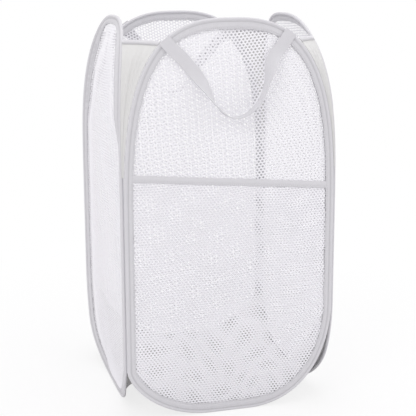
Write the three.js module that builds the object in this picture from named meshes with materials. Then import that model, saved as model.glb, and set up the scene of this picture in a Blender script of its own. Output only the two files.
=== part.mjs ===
// Pop up laundry hamper: four sprung hoops, each bound round a mesh panel and sewn to the next
// down the corners, with cloth gussets at the top corners, a cloth bottom and two webbing handles.
// Millimetres, +Z up, front towards -Y, origin at the middle of the footprint on the floor.
// "Across" runs to the right and "out" towards the viewer, as a panel is seen from outside.

import * as THREE from "three";

// Overall size
const hamperHeight = 640;
const cornerSpan = 346; // between neighbouring corner seams, which the panels fold about
const foldRange = 70; // degrees that the corners turn each way from square
const seatGap = 0.3; // air left between pieces that touch

// Hoop wire, and the ferrule crimped over its two ends
const wireRadius = 1.1;
const wireEndGap = 1.5;
const ferruleWall = 0.4;
const ferruleLength = 22;
const ferruleHeight = 205;

// Binding tape, folded round the wire and over the edge of the mesh
const tapeThickness = 0.6;
const sideTapeWidth = 11;
const endTapeWidth = 15; // at the crown and the foot
const floorPress = 0.4; // how far the binding is pressed flat where it stands

// Outline of a hoop, down to its straight foot
const shoulderRise = 324; // from where the sides begin to draw in up to the crown
const tightCorner = 84; // height of the lower corner that is pulled tight
const looseCorner = 170; // height of the lower corner that stays round
const footLength = 56;
const crownPowers = { across: 2.74, up: 3 };
const tightPowers = { across: 2.2, up: 1.45 };
const loosePowers = { across: 2.25, up: 2 };

// Bow of the panels: how far a hoop leans in at its crown and at its foot
const faceLeanDepth = { crown: 4, foot: 4 };
const sideLeanDepth = { crown: 28, foot: 15 };
const crownLeanRise = 256; // length of the part that leans in, at each end
const footLeanRise = 80;
const crownLeanPower = 3;
const footLeanPower = 2;

// Mesh panels, and the flat pocket over the lower part of the front one. A plain grid of openings
// stands for the fine knit.
const meshThickness = 0.5;
const meshTuck = 0.8; // how far the mesh stops short of the bead round the wire
const meshColumns = 6; // of openings, across the widest part of a panel
const meshRows = 9;
const meshBarWidth = 16;
const meshLeastOpening = 6; // where the binding cuts into one
const pocketTop = 390;
const pocketTapeWidth = 11;

// Handles: where their ends are sewn to the hoop, and how the strap hangs between
const webbingWidth = 20;
const webbingThickness = 1.6;
const handleReachShares = { left: 0.616, right: 0.557 }; // of the way from the middle to the side
const handleSeamDrop = 46; // from the crown down to the edge that the strap swings about
const handleDrop = 100; // from that edge down to the middle of the strap
const handlePathShares = [
  [-1, 0],
  [-0.8, 0.16],
  [-0.47, 0.5],
  [-0.24, 0.82],
  [0.02, 1],
  [0.3, 0.97],
  [0.56, 0.78],
  [0.7, 0.5],
  [0.83, 0.17],
  [1, 0],
];
const twistStartShare = 0.12; // of the strap's length, where it starts to turn on edge
const twistEndShare = 0.45; // where it stands on edge
const skewShare = 0.08; // along which its level end turns square to the strap

// Corner gussets and the seams below them
const gussetTopDrop = 34; // from the crown down to a gusset's hem
const gussetLength = 206;
const gussetThickness = 0.8;
const gussetBowShare = 0.1; // of its width, how far a gusset hollows inwards
const hemHeight = 8;

// Bottom
const bottomThickness = 1;
const bottomSag = 4.5;
const bottomSeamRise = 5; // from the wire up to the edge that is sewn to the binding
const bottomCornerInset = 2.2;
const bottomCornerPower = 16; // how late the edge turns away from the binding to the corner
const bottomRangeShare = 0.94; // of a quarter turn, how far its facets crowd at the edges
const bottomEndShare = 0.9995; // of the way to a corner, where the sewn edges end

// Facets
const outlineSteps = 46;
const curveSteps = 120;
const turnLength = 2600; // length of straight run that a full turn of the outline counts as
const beadFacets = 7;
const sheetSteps = 22;
const gussetSteps = 12;
const gussetColumns = 4;
const handleSteps = 40;
const bottomSteps = 18;

// Sizes that follow
const ferruleBore = wireRadius + seatGap;
const beadBore = ferruleBore + ferruleWall + seatGap;
const beadRadius = beadBore + tapeThickness;
const layerPitch = meshThickness + tapeThickness + (3 * seatGap) / 2;
const halfSpan = cornerSpan / 2;
// At the tightest corner the beads of two hoops, each this far from the fold line, still clear.
const closedAngle = Math.PI / 2 - THREE.MathUtils.degToRad(foldRange);
const beadReach = (beadRadius + seatGap / 2) / Math.sin(Math.PI / 4 + closedAngle / 2);
const planeOffset = beadReach / Math.SQRT2;
const hoopHalfWidth = halfSpan - planeOffset;
const hoopTop = hamperHeight - beadRadius;
const hoopFoot = beadRadius - floorPress;
const shoulderStart = hamperHeight - shoulderRise;
const meshEdge = -beadRadius - meshTuck;
const handleSeam = hamperHeight - handleSeamDrop;
const gussetTop = hamperHeight - gussetTopDrop;
const gussetBase = gussetTop - gussetLength;

// Which way each panel faces, on which side its tight lower corner lies, and what it holds
const panels = [
  { name: "front", turn: 0, lean: faceLeanDepth, tightSide: -1, handle: true, pocket: true },
  { name: "right", turn: 1, lean: sideLeanDepth, tightSide: 1 },
  { name: "back", turn: 2, lean: faceLeanDepth, tightSide: -1, handle: true },
  { name: "left", turn: 3, lean: sideLeanDepth, tightSide: 1 },
];

const finishes = {
  wire: { color: 0x9a9ca0, roughness: 0.3, metalness: 1 },
  tape: { color: 0xd6d6da, roughness: 0.8, metalness: 0 },
  mesh: { color: 0xf0f0f4, roughness: 0.7, metalness: 0 },
  cloth: { color: 0xe4e4e2, roughness: 0.85, metalness: 0 },
  webbing: { color: 0xd3d3d8, roughness: 0.8, metalness: 0 },
};

function addPiece(group, name, geometry, finish) {
  const mesh = new THREE.Mesh(geometry, new THREE.MeshStandardMaterial(finishes[finish]));
  mesh.name = name;
  group.add(mesh);
}

// A closed surface through rings of points, its faces turned out. Point i of a ring lies across
// from point (last - i), so quads between the two close an end.
function loft(rings, closed = false) {
  const count = rings[0].length;
  const positions = rings.flat().flatMap((point) => point.toArray());
  const index = [];
  const quad = (a, b, c, d) => index.push(a, b, c, a, c, d);
  const spans = closed ? rings.length : rings.length - 1;
  for (let i = 0; i < spans; i++) {
    const here = i * count;
    const next = ((i + 1) % rings.length) * count;
    for (let j = 0; j < count; j++) {
      const k = (j + 1) % count;
      quad(here + j, here + k, next + k, next + j);
    }
  }
  const last = (rings.length - 1) * count;
  for (let j = 0; j < count / 2 - 1 && !closed; j++) {
    const k = count - 1 - j;
    quad(j, k, k - 1, j + 1);
    quad(last + j, last + j + 1, last + k - 1, last + k);
  }
  return closedSurface(positions, index);
}

// The geometry of a closed surface, its faces turned out
function closedSurface(positions, index) {
  const geometry = new THREE.BufferGeometry();
  geometry.setAttribute("position", new THREE.Float32BufferAttribute(positions, 3));
  geometry.setIndex(signedVolume(positions, index) < 0 ? index.reverse() : index);
  geometry.computeVertexNormals();
  return geometry;
}

function signedVolume(positions, index) {
  const corner = (k) => new THREE.Vector3().fromArray(positions, 3 * index[k]);
  let volume = 0;
  for (let k = 0; k < index.length; k += 3) {
    volume += corner(k).dot(corner(k + 1).cross(corner(k + 2)));
  }
  return volume;
}

// Both faces of a thin strip as one ring: out along its row, and back along the other side
function stripRing(row, offset) {
  const faced = (side) => row.map((point, i) => offset(point, i, side));
  return [...faced(1), ...faced(-1).reverse()];
}

// Section of a tape folded over an edge at height top, its two legs hanging down to low
function foldedSection(inner, low, top) {
  const outer = inner + tapeThickness;
  return [
    [outer, low],
    [outer, top],
    [-outer, top],
    [-outer, low],
    [-inner, low],
    [-inner, top - tapeThickness],
    [inner, top - tapeThickness],
    [inner, low],
  ];
}

// A quarter of a curve between an oval and a square, from its end to its side
function quarterCurve(run, rise, powers) {
  return Array.from({ length: curveSteps + 1 }, (_, i) => {
    const angle = ((i / curveSteps) * Math.PI) / 2;
    const across = run * Math.sin(angle) ** (2 / powers.across);
    return new THREE.Vector2(across, rise * Math.cos(angle) ** (2 / powers.up));
  });
}

// A hoop's upper curve on one side, from the side to the middle of the crown
function crownCurve(side) {
  return quarterCurve(hoopHalfWidth, hoopTop - shoulderStart, crownPowers)
    .map((p) => new THREE.Vector2(side * p.x, shoulderStart + p.y))
    .reverse();
}

// A hoop's lower curve on one side, from the side to the end of the straight foot
function footCurve(side, tight) {
  const top = tight ? tightCorner : looseCorner;
  const powers = tight ? tightPowers : loosePowers;
  return quarterCurve(hoopHalfWidth - footLength / 2, top - hoopFoot, powers)
    .map((p) => new THREE.Vector2(side * (footLength / 2 + p.x), top - p.y))
    .reverse();
}

// Length along a run up to each of its points, with its bends counted as extra length
function weighedReach(run) {
  const reach = [0];
  for (let i = 1; i < run.length; i++) {
    const step = run[i].clone().sub(run[i - 1]);
    const onward = run[Math.min(i + 1, run.length - 1)].clone().sub(run[i]);
    const turn = step.length() > 0 && onward.length() > 0 ? step.angleTo(onward) : 0;
    reach.push(reach[i - 1] + step.length() + (turn * turnLength) / (2 * Math.PI));
  }
  return reach;
}

function spreadAlong(run, reach, steps) {
  let at = 1;
  return Array.from({ length: steps + 1 }, (_, k) => {
    const target = (reach[reach.length - 1] * k) / steps;
    while (at < reach.length - 1 && reach[at] < target) at++;
    const share = (target - reach[at - 1]) / (reach[at] - reach[at - 1]);
    return run[at - 1].clone().lerp(run[at], Math.min(share, 1));
  });
}

// Stations along a hoop's wire from the middle of its ferrule over the crown to the straight foot,
// and from its other end back to the ferrule, closer together where the hoop bends. Each has its
// point and the normal that points out of the hoop.
function hoopStations(panel) {
  const side = panel.tightSide;
  const ferrule = new THREE.Vector2(side * hoopHalfWidth, ferruleHeight);
  const over = [
    ferrule,
    ...crownCurve(side),
    ...crownCurve(-side).reverse().slice(1),
    ...footCurve(-side, false),
  ];
  const back = [...footCurve(side, true).reverse(), ferrule.clone()];
  const reaches = [over, back].map(weighedReach);
  const [overReach, backReach] = reaches.map((reach) => reach[reach.length - 1]);
  const overSteps = Math.round((outlineSteps * overReach) / (overReach + backReach));
  const points = [
    ...spreadAlong(over, reaches[0], overSteps),
    ...spreadAlong(back, reaches[1], outlineSteps - overSteps),
  ];
  const last = points.length - 1;
  return points.map((point, i) => {
    const before = points[i === 0 ? last - 1 : i - 1];
    const after = points[i === last ? 1 : i + 1];
    const behind = point.clone().sub(before).normalize();
    const along = after.clone().sub(point).normalize().add(behind).normalize();
    return { point, normal: new THREE.Vector2(side * along.y, -side * along.x) };
  });
}

// How far a panel leans in at a height, and the slope of that lean
function leanAt(lean, height) {
  const up = Math.max(0, (height - hamperHeight + crownLeanRise) / crownLeanRise);
  const down = Math.max(0, (footLeanRise - height) / footLeanRise);
  const crownSlope = (crownLeanPower * up ** (crownLeanPower - 1)) / crownLeanRise;
  const footSlope = (footLeanPower * down ** (footLeanPower - 1)) / footLeanRise;
  return {
    inward: lean.crown * up ** crownLeanPower + lean.foot * down ** footLeanPower,
    slope: lean.crown * crownSlope - lean.foot * footSlope,
  };
}

// A place on a panel as the front panel would have it; each panel's group turns it round
function onPanel(panel, across, height, out) {
  const { inward, slope } = leanAt(panel.lean, height);
  const length = Math.hypot(1, slope);
  return new THREE.Vector3(
    across,
    inward - halfSpan - planeOffset - out / length,
    height + (out * slope) / length,
  );
}

function turned(panel, point) {
  return point.applyAxisAngle(new THREE.Vector3(0, 0, 1), (panel.turn * Math.PI) / 2);
}

// Sweeps a section along a hoop. Its points are [away, out], away from the middle of the hoop.
function sweepHoop(panel, stations, sectionAt, closed) {
  const rings = stations.map(({ point, normal }) =>
    sectionAt(normal).map(([away, out]) => {
      const place = point.clone().addScaledVector(normal, away);
      const made = onPanel(panel, place.x, place.y, out);
      made.z = Math.max(made.z, 0);
      return made;
    }),
  );
  return loft(rings, closed);
}

function roundSection(radius, sides) {
  return Array.from({ length: sides }, (_, i) => {
    const angle = ((i + 0.5) * 2 * Math.PI) / sides;
    return [radius * Math.cos(angle), radius * Math.sin(angle)];
  });
}

// Half of the space between the legs of a panel's binding, with one layer of mesh or two
function tuckOf(panel) {
  return ((panel.pocket ? layerPitch : 0) + meshThickness) / 2 + seatGap;
}

// The width of the tape, wider at the crown and the foot
function tapeWidthAt(normal) {
  return sideTapeWidth + (endTapeWidth - sideTapeWidth) * normal.y ** 2;
}

// The binding's two legs and the bead round the wire, out along one face and back inside
function bindingSection(panel, normal) {
  const width = tapeWidthAt(normal);
  const face = (radius, legOut) => {
    const start = Math.PI - Math.asin(legOut / radius);
    const arc = Array.from({ length: beadFacets + 1 }, (_, i) => {
      const angle = start * (1 - (2 * i) / beadFacets);
      return [radius * Math.cos(angle), radius * Math.sin(angle)];
    });
    return [[-width, legOut], ...arc, [-width, -legOut]];
  };
  const tuck = tuckOf(panel);
  return [...face(beadRadius, tuck + tapeThickness), ...face(beadBore, tuck).reverse()];
}

function buildHoop(group, panel, stations) {
  const round = stations.slice(0, -1);
  const section = (normal) => bindingSection(panel, normal);
  addPiece(group, `${panel.name}_binding`, sweepHoop(panel, round, section, true), "tape");
  const ferrule = stations[0];
  const beside = (rise) => ({
    point: ferrule.point.clone().add(new THREE.Vector2(0, rise)),
    normal: ferrule.normal,
  });
  const wire = [beside(wireEndGap / 2), ...stations.slice(1, -1), beside(-wireEndGap / 2)];
  const wireSection = roundSection(wireRadius, 6);
  addPiece(
    group,
    `${panel.name}_hoop_wire`,
    sweepHoop(panel, wire, () => wireSection, false),
    "wire",
  );
  const ends = [beside(-ferruleLength / 2), beside(ferruleLength / 2)];
  addPiece(group, `${panel.name}_ferrule`, tube(panel, ends), "wire");
}

// A tube between two stations, swept round its own wall
function tube(panel, [low, high]) {
  const place = ({ point, normal }, [away, out]) =>
    onPanel(panel, point.x + normal.x * away, point.y, out);
  const outer = roundSection(ferruleBore + ferruleWall, 8);
  const inner = roundSection(ferruleBore, 8);
  const rings = outer.map((wall, i) => [
    place(low, wall),
    place(high, wall),
    place(high, inner[i]),
    place(low, inner[i]),
  ]);
  return loft(rings, true);
}

// Where a line drawn beside a hoop's wire, so far away along each normal, crosses a height
function edgeAcross(stations, awayAt, side, height) {
  const line = stations.map(({ point, normal }) =>
    point.clone().addScaledVector(normal, awayAt(normal)),
  );
  const crossings = [0];
  for (let i = 1; i < line.length; i++) {
    const [a, b] = [line[i - 1], line[i]];
    if (a.y === b.y || (a.y - height) * (b.y - height) > 0) continue;
    crossings.push(a.x + ((b.x - a.x) * (height - a.y)) / (b.y - a.y));
  }
  return side * Math.max(...crossings.map((x) => side * x));
}

// Heights from low to high, closer together at each end that is rounded
function easedHeights(low, high, steps, roundLow, roundHigh) {
  const start = roundLow ? 0 : Math.PI / 2;
  const end = roundHigh ? Math.PI : Math.PI / 2;
  return Array.from({ length: steps + 1 }, (_, i) => {
    const angle = start + ((end - start) * i) / steps;
    const eased = (Math.cos(start) - Math.cos(angle)) / (Math.cos(start) - Math.cos(end));
    return low + (high - low) * (start < end ? eased : i / steps);
  });
}

// The levels at which a mesh begins, opens, closes and ends. Each has its height and the places
// across it where the mesh starts and stops.
function meshLevels(stations, low, high, openHigh) {
  const sides = (height, awayAt) =>
    [-1, 1].map((side) => edgeAcross(stations, awayAt, side, height));
  const level = (height, corners, opens) => {
    const [left, right] = sides(height, () => meshEdge);
    return { height, across: [left, ...corners, right], opens };
  };
  const gridSide = hoopHalfWidth - sideTapeWidth;
  const columnPitch = (2 * gridSide + meshBarWidth) / meshColumns;
  const gridLow = hoopFoot + endTapeWidth;
  const rowPitch = (hoopTop - endTapeWidth - gridLow + meshBarWidth) / meshRows;
  const levels = [level(low, [], false)];
  for (let row = 0; row < meshRows; row++) {
    const from = gridLow + row * rowPitch;
    const to = Math.min(from + rowPitch - meshBarWidth, openHigh);
    if (to - from < meshLeastOpening) continue;
    const limits = [from, to].map((height) => sides(height, (normal) => -tapeWidthAt(normal)));
    const openings = Array.from({ length: meshColumns }, (_, i) => {
      const left = i * columnPitch - gridSide;
      const right = left + columnPitch - meshBarWidth;
      return limits.map(([least, most]) => [Math.max(left, least), Math.min(right, most)]);
    }).filter((ends) => ends.every(([left, right]) => right - left > meshLeastOpening));
    if (openings.length === 0) continue;
    levels.push(level(from, openings.flatMap(([ends]) => ends), true));
    levels.push(level(to, openings.flatMap(([, ends]) => ends), false));
  }
  return [...levels, level(high, [], false)];
}

// Joins two rows of points, both from left to right, by triangles
function joinRows({ points, triangles }, low, high) {
  let [i, j] = [0, 0];
  while (i < low.length - 1 || j < high.length - 1) {
    const lowNext = i < low.length - 1 ? points[low[i + 1]].x : Infinity;
    const highNext = j < high.length - 1 ? points[high[j + 1]].x : Infinity;
    if (lowNext <= highNext) {
      triangles.push([low[i], low[i + 1], high[j]]);
      i++;
    } else {
      triangles.push([low[i], high[j + 1], high[j]]);
      j++;
    }
  }
}

// One face of a mesh, laid flat. Between levels that don't open it is one strip, and elsewhere a
// strip on each side and one between neighbouring openings. What follows the hoop has more rows.
function meshFace(stations, levels, heights) {
  const face = { points: [], triangles: [] };
  const addRow = (height, across) =>
    across.map((x) => face.points.push(new THREE.Vector2(x, height)) - 1);
  const rows = levels.map(({ height, across }) => addRow(height, across));
  for (let i = 1; i < levels.length; i++) {
    const [low, high] = [levels[i - 1], levels[i]];
    const between = heights.filter((height) => height > low.height && height < high.height);
    const strips = low.opens ? low.across.length / 2 : 1;
    for (let k = 0; k < strips; k++) {
      const ends = low.opens ? [2 * k, 2 * k + 2] : [0, Infinity];
      const [first, last] = [k === 0, k === strips - 1];
      const sideAt = (height, side, isEdge, index) => {
        if (isEdge) return edgeAcross(stations, () => meshEdge, side, height);
        const share = (height - low.height) / (high.height - low.height);
        return THREE.MathUtils.lerp(low.across[index], high.across[index], share);
      };
      const refined = (first || last ? between : []).map((height) =>
        addRow(height, [
          sideAt(height, -1, first, 2 * k),
          sideAt(height, 1, last, 2 * k + 1),
        ]),
      );
      const chain = [rows[i - 1].slice(...ends), ...refined, rows[i].slice(...ends)];
      chain.slice(1).forEach((row, n) => joinRows(face, chain[n], row));
    }
  }
  return face;
}

// A sheet of mesh at one depth in its binding: its face, once half its thickness either way, and
// walls along every edge that only one triangle has
function meshSheet(panel, stations, levels, heights, layer) {
  const { points, triangles } = meshFace(stations, levels, heights);
  const faced = (side) =>
    points.flatMap(({ x, y }) =>
      onPanel(panel, x, y, layer + (side * meshThickness) / 2).toArray(),
    );
  const count = points.length;
  const index = triangles.flatMap(([a, b, c]) => [a, b, c, a + count, c + count, b + count]);
  const edges = new Set(
    triangles.flatMap(([a, b, c]) => [`${a} ${b}`, `${b} ${c}`, `${c} ${a}`]),
  );
  for (const edge of edges) {
    const [a, b] = edge.split(" ").map(Number);
    if (edges.has(`${b} ${a}`)) continue;
    index.push(b, a, a + count, b, a + count, b + count);
  }
  return closedSurface([...faced(1), ...faced(-1)], index);
}

function buildMesh(group, panel, stations) {
  const rims = stations.map(({ point, normal }) => point.y + normal.y * meshEdge);
  const low = Math.min(...rims) + seatGap;
  const high = Math.max(...rims) - seatGap;
  const heights = easedHeights(low, high, sheetSteps, true, true);
  const layer = panel.pocket ? layerPitch / 2 : 0;
  const levels = meshLevels(stations, low, high, high);
  const sheet = meshSheet(panel, stations, levels, heights, -layer);
  addPiece(group, `${panel.name}_mesh`, sheet, "mesh");
  if (!panel.pocket) return;
  const edge = pocketTop - tapeThickness - seatGap;
  const pocketLevels = meshLevels(stations, low, edge, pocketTop - pocketTapeWidth);
  const pocket = meshSheet(panel, stations, pocketLevels, heights, layer);
  addPiece(group, "pocket_mesh", pocket, "mesh");
  addPiece(group, "pocket_binding", pocketTape(panel, stations, layer), "tape");
}

// The tape over the pocket's upper edge, from one leg of the side binding to the other
function pocketTape(panel, stations, layer) {
  const low = pocketTop - pocketTapeWidth;
  const section = foldedSection((meshThickness + seatGap) / 2, low, pocketTop);
  const rings = [-1, 1].map((side) =>
    section.map(([out, height]) => {
      const leg = edgeAcross(stations, () => -sideTapeWidth, side, pocketTop);
      return onPanel(panel, leg - side * seatGap, height, layer + out);
    }),
  );
  return loft(rings);
}

// Where the middle of a strap's sewn end crosses the wire, and where it meets the fold below
function handleSeat(stations, side) {
  const share = side < 0 ? handleReachShares.left : handleReachShares.right;
  const across = side * share * hoopHalfWidth;
  const index = stations.findIndex(
    ({ point }, i) =>
      point.y > shoulderStart &&
      i + 1 < stations.length &&
      (point.x - across) * (stations[i + 1].point.x - across) <= 0,
  );
  const [a, b] = [stations[index], stations[index + 1]];
  const between = (across - a.point.x) / (b.point.x - a.point.x);
  const point = a.point.clone().lerp(b.point, between);
  const normal = a.normal.clone().lerp(b.normal, between).normalize();
  const foldAcross = across - (normal.x * (point.y - handleSeam)) / normal.y;
  return { point, normal, foldAcross };
}

// The strap from fold to fold. Its ends are cut level, so that they turn about one line, and it
// twists to hang on edge.
function handleLoop(panel, left, right) {
  const middle = (left.foldAcross + right.foldAcross) / 2;
  const half = (right.foldAcross - left.foldAcross) / 2;
  const curve = new THREE.CatmullRomCurve3(
    handlePathShares.map(
      ([across, down]) =>
        new THREE.Vector3(middle + across * half, 0, handleSeam - down * handleDrop),
    ),
    false,
    "centripetal",
  );
  const smooth = (share) => THREE.MathUtils.smoothstep(share, 0, 1);
  const flat = onPanel(panel, 0, handleSeam, beadRadius + seatGap + webbingThickness / 2);
  const rings = [];
  for (let i = 0; i <= handleSteps; i++) {
    const share = i / handleSteps;
    const fromEnd = Math.min(share, 1 - share);
    const twist = smooth((fromEnd - twistStartShare) / (twistEndShare - twistStartShare));
    const angle = (twist * Math.PI) / 2;
    const along = curve.getTangentAt(share);
    const square = new THREE.Vector3(-along.z, 0, along.x);
    const level = new THREE.Vector3(Math.sign(square.x), 0, 0);
    const edge = level.lerp(square, smooth(fromEnd / skewShare)).normalize();
    edge.divideScalar(edge.dot(square)).applyAxisAngle(along, angle);
    const face = new THREE.Vector3(0, -1, 0).applyAxisAngle(along, angle);
    const centre = curve.getPointAt(share);
    centre.y = flat.y - (webbingWidth / 2) * Math.sin(angle);
    rings.push(strapRing(centre, edge, face));
  }
  return loft(rings);
}

function strapRing(centre, edge, face) {
  const row = [-1, 1].map((side) =>
    centre.clone().addScaledVector(edge, (side * webbingWidth) / 2),
  );
  return stripRing(row, (point, _, side) =>
    point.clone().addScaledVector(face, (side * webbingThickness) / 2),
  );
}

// A strap's sewn end, flat over the binding from the hoop's edge down to the level fold
function handleEnd(panel, seat) {
  const across = new THREE.Vector2(seat.normal.y, -seat.normal.x);
  const top = seat.point.clone().addScaledVector(seat.normal, beadRadius);
  const layer = beadRadius + seatGap + webbingThickness / 2;
  const corner = (side, cut) => {
    const place = top.clone().addScaledVector(across, (side * webbingWidth) / 2);
    const drop = cut ? place.y - handleSeam - seatGap : 0;
    return place.addScaledVector(seat.normal, -drop / seat.normal.y);
  };
  const rings = [true, false].map((cut) =>
    stripRing([corner(-1, cut), corner(1, cut)], (place, _, side) =>
      onPanel(panel, place.x, place.y, layer + (side * webbingThickness) / 2),
    ),
  );
  return loft(rings);
}

function buildHandle(group, panel, stations) {
  const left = handleSeat(stations, -1);
  const right = handleSeat(stations, 1);
  addPiece(group, `${panel.name}_handle`, handleLoop(panel, left, right), "webbing");
  addPiece(group, `${panel.name}_handle_end_left`, handleEnd(panel, left), "webbing");
  addPiece(group, `${panel.name}_handle_end_right`, handleEnd(panel, right), "webbing");
}

// Each corner joins the left side of one panel to the right side of the panel beside it
function cornersOf(hoops) {
  return hoops.map((hoop, i) => {
    const beside = hoops[(i + 3) % 4];
    const names = [hoop.panel.name, beside.panel.name];
    const face = names.find((name) => name === "front" || name === "back");
    const side = names.find((name) => name === "left" || name === "right");
    return { name: `${face}_${side}`, hoop, beside };
  });
}

// A level row of points from one binding to the other, hollowed inwards
function gussetRow({ hoop, beside }, height) {
  const away = beadRadius + 2 * seatGap + gussetThickness / 2;
  const edgeOf = ({ panel, stations }, side) =>
    turned(panel, onPanel(panel, edgeAcross(stations, () => away, side, height), height, 0));
  const from = edgeOf(hoop, -1);
  const to = edgeOf(beside, 1);
  const inward = new THREE.Vector3(-from.x - to.x, -from.y - to.y, 0).normalize();
  const bow = gussetBowShare * from.distanceTo(to);
  const points = Array.from({ length: gussetColumns + 1 }, (_, i) => {
    const share = i / gussetColumns;
    const hollow = 4 * share * (1 - share) * bow;
    return from.clone().lerp(to, share).addScaledVector(inward, hollow);
  });
  return { points, inward };
}

// The same row, drawn in at both ends to keep the hem's thickness clear of the bindings
function hemRow(corner, height) {
  const { points, inward } = gussetRow(corner, height);
  const trim = 2 * (tapeThickness + seatGap);
  const drawIn = (end, next) => end.add(next.clone().sub(end).setLength(trim));
  drawIn(points[0], points[1]);
  drawIn(points[gussetColumns], points[gussetColumns - 1]);
  return { points, inward };
}

function buildGusset(group, corner) {
  const hemFoot = gussetTop - hemHeight;
  const edge = gussetTop - tapeThickness - seatGap;
  const heights = easedHeights(gussetBase, hemFoot, gussetSteps, false, false);
  const half = gussetThickness / 2;
  const rings = [...heights, edge].map((height) => {
    const { points, inward } = gussetRow(corner, height);
    return stripRing(points, (point, _, side) =>
      point.clone().addScaledVector(inward, side * half),
    );
  });
  addPiece(group, `gusset_${corner.name}`, loft(rings), "cloth");
  const section = foldedSection(half + seatGap, hemFoot, gussetTop);
  const rows = section.map(([, height]) => hemRow(corner, height));
  const hem = Array.from({ length: gussetColumns + 1 }, (_, i) =>
    section.map(([out], k) => rows[k].points[i].clone().addScaledVector(rows[k].inward, out)),
  );
  addPiece(group, `gusset_hem_${corner.name}`, loft(hem), "tape");
}

// The line of stitching that two neighbouring bindings hang on and fold about
function buildSeam(group, corner) {
  const { panel } = corner.hoop;
  const low = panel.tightSide < 0 ? tightCorner : looseCorner;
  const radius = beadReach - beadRadius - seatGap;
  const rings = [low, gussetBase - seatGap].map((height) =>
    roundSection(radius, 8).map(([x, y]) =>
      turned(panel, new THREE.Vector3(x - halfSpan, y - halfSpan, height)),
    ),
  );
  addPiece(group, `corner_seam_${corner.name}`, loft(rings), "tape");
}

// The bottom's sewn edge along one panel's binding; share runs from its left corner, -1, to 1
function bottomEdge({ panel }, share) {
  const side = share < 0 ? -1 : 1;
  const tight = side === panel.tightSide;
  const run = [new THREE.Vector2(0, hoopFoot), ...footCurve(side, tight).reverse()];
  const lengths = run.map((point, i) => (i ? point.distanceTo(run[i - 1]) : 0));
  let left = Math.abs(share) * lengths.reduce((sum, length) => sum + length, 0);
  let i = 1;
  while (i < run.length - 1 && left > lengths[i]) {
    left -= lengths[i];
    i++;
  }
  const place = run[i - 1].clone().lerp(run[i], Math.min(left / lengths[i], 1));
  const along = run[i].clone().sub(run[i - 1]).normalize();
  place.add(new THREE.Vector2(-side * along.y, side * along.x).multiplyScalar(bottomSeamRise));
  const nearCorner = Math.abs(share) ** bottomCornerPower;
  const cornerAcross = side * (halfSpan - bottomCornerInset);
  const sewn = tuckOf(panel) + tapeThickness + seatGap + bottomThickness / 2;
  const made = onPanel(
    panel,
    THREE.MathUtils.lerp(place.x, cornerAcross, nearCorner),
    place.y,
    -THREE.MathUtils.lerp(sewn, planeOffset + bottomCornerInset, nearCorner),
  );
  return turned(panel, made);
}

// The bottom hangs between its four sewn edges; s runs to the right and t to the back
function bottomPoint([front, right, back, left], s, t) {
  const facing = bottomEdge(front, s).lerp(bottomEdge(back, -s), (t + 1) / 2);
  const sideways = bottomEdge(left, -t).lerp(bottomEdge(right, t), (s + 1) / 2);
  const inFromFaces = 1 - t * t;
  const inFromSides = 1 - s * s;
  const place = sideways.lerp(facing, inFromSides / (inFromFaces + inFromSides));
  place.z -= bottomSag * inFromFaces * inFromSides;
  return place;
}

function buildBottom(group, hoops) {
  const end = (bottomRangeShare * Math.PI) / 2;
  const shares = Array.from({ length: bottomSteps + 1 }, (_, i) => {
    const share = Math.sin(end * ((2 * i) / bottomSteps - 1)) / Math.sin(end);
    return THREE.MathUtils.clamp(share, -bottomEndShare, bottomEndShare);
  });
  const points = shares.map((s) => shares.map((t) => bottomPoint(hoops, s, t)));
  const within = (i) => THREE.MathUtils.clamp(i, 0, bottomSteps);
  const rings = points.map((row, i) =>
    stripRing(row, (point, j, side) => {
      const onward = points[within(i + 1)][j].clone().sub(points[within(i - 1)][j]);
      const sideways = row[within(j + 1)].clone().sub(row[within(j - 1)]);
      const normal = onward.cross(sideways).normalize();
      return point.clone().addScaledVector(normal, (side * bottomThickness) / 2);
    }),
  );
  addPiece(group, "bottom_panel", loft(rings), "cloth");
}

const hamper = new THREE.Group();
const hoops = panels.map((panel) => ({ panel, stations: hoopStations(panel) }));
for (const { panel, stations } of hoops) {
  const group = new THREE.Group();
  group.rotation.z = (panel.turn * Math.PI) / 2;
  buildHoop(group, panel, stations);
  buildMesh(group, panel, stations);
  if (panel.handle) buildHandle(group, panel, stations);
  hamper.add(group);
}
for (const corner of cornersOf(hoops)) {
  buildGusset(hamper, corner);
  buildSeam(hamper, corner);
}
buildBottom(hamper, hoops);

export default hamper;
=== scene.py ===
import math

import bpy
import numpy as np
from mathutils import Matrix, Vector
from mathutils.kdtree import KDTree


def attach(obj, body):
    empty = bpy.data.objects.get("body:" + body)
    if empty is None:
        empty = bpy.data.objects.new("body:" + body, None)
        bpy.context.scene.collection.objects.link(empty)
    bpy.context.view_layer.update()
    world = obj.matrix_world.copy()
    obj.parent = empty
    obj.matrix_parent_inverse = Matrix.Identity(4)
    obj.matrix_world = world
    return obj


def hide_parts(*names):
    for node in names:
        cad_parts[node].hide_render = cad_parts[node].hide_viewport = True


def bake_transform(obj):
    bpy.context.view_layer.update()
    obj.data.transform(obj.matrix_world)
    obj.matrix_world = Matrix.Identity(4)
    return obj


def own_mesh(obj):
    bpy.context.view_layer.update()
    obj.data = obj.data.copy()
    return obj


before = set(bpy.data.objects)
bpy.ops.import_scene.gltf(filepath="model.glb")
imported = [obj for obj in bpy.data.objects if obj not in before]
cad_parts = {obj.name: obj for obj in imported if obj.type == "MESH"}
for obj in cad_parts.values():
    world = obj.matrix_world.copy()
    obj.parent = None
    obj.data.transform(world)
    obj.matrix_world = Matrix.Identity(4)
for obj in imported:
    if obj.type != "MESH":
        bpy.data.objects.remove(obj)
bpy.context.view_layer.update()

# The stand for the picture: a camera in front of the hamper, a little to its left and above it, a
# pale floor that keeps the hamper's shadow, soft lamps high on both sides, and white all round.
camera_turn = math.radians(-15.78)
camera_lift = math.radians(12.09)
camera_roll = math.radians(-0.28)
camera_distance = 1.8307
aim_height = 0.32
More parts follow.
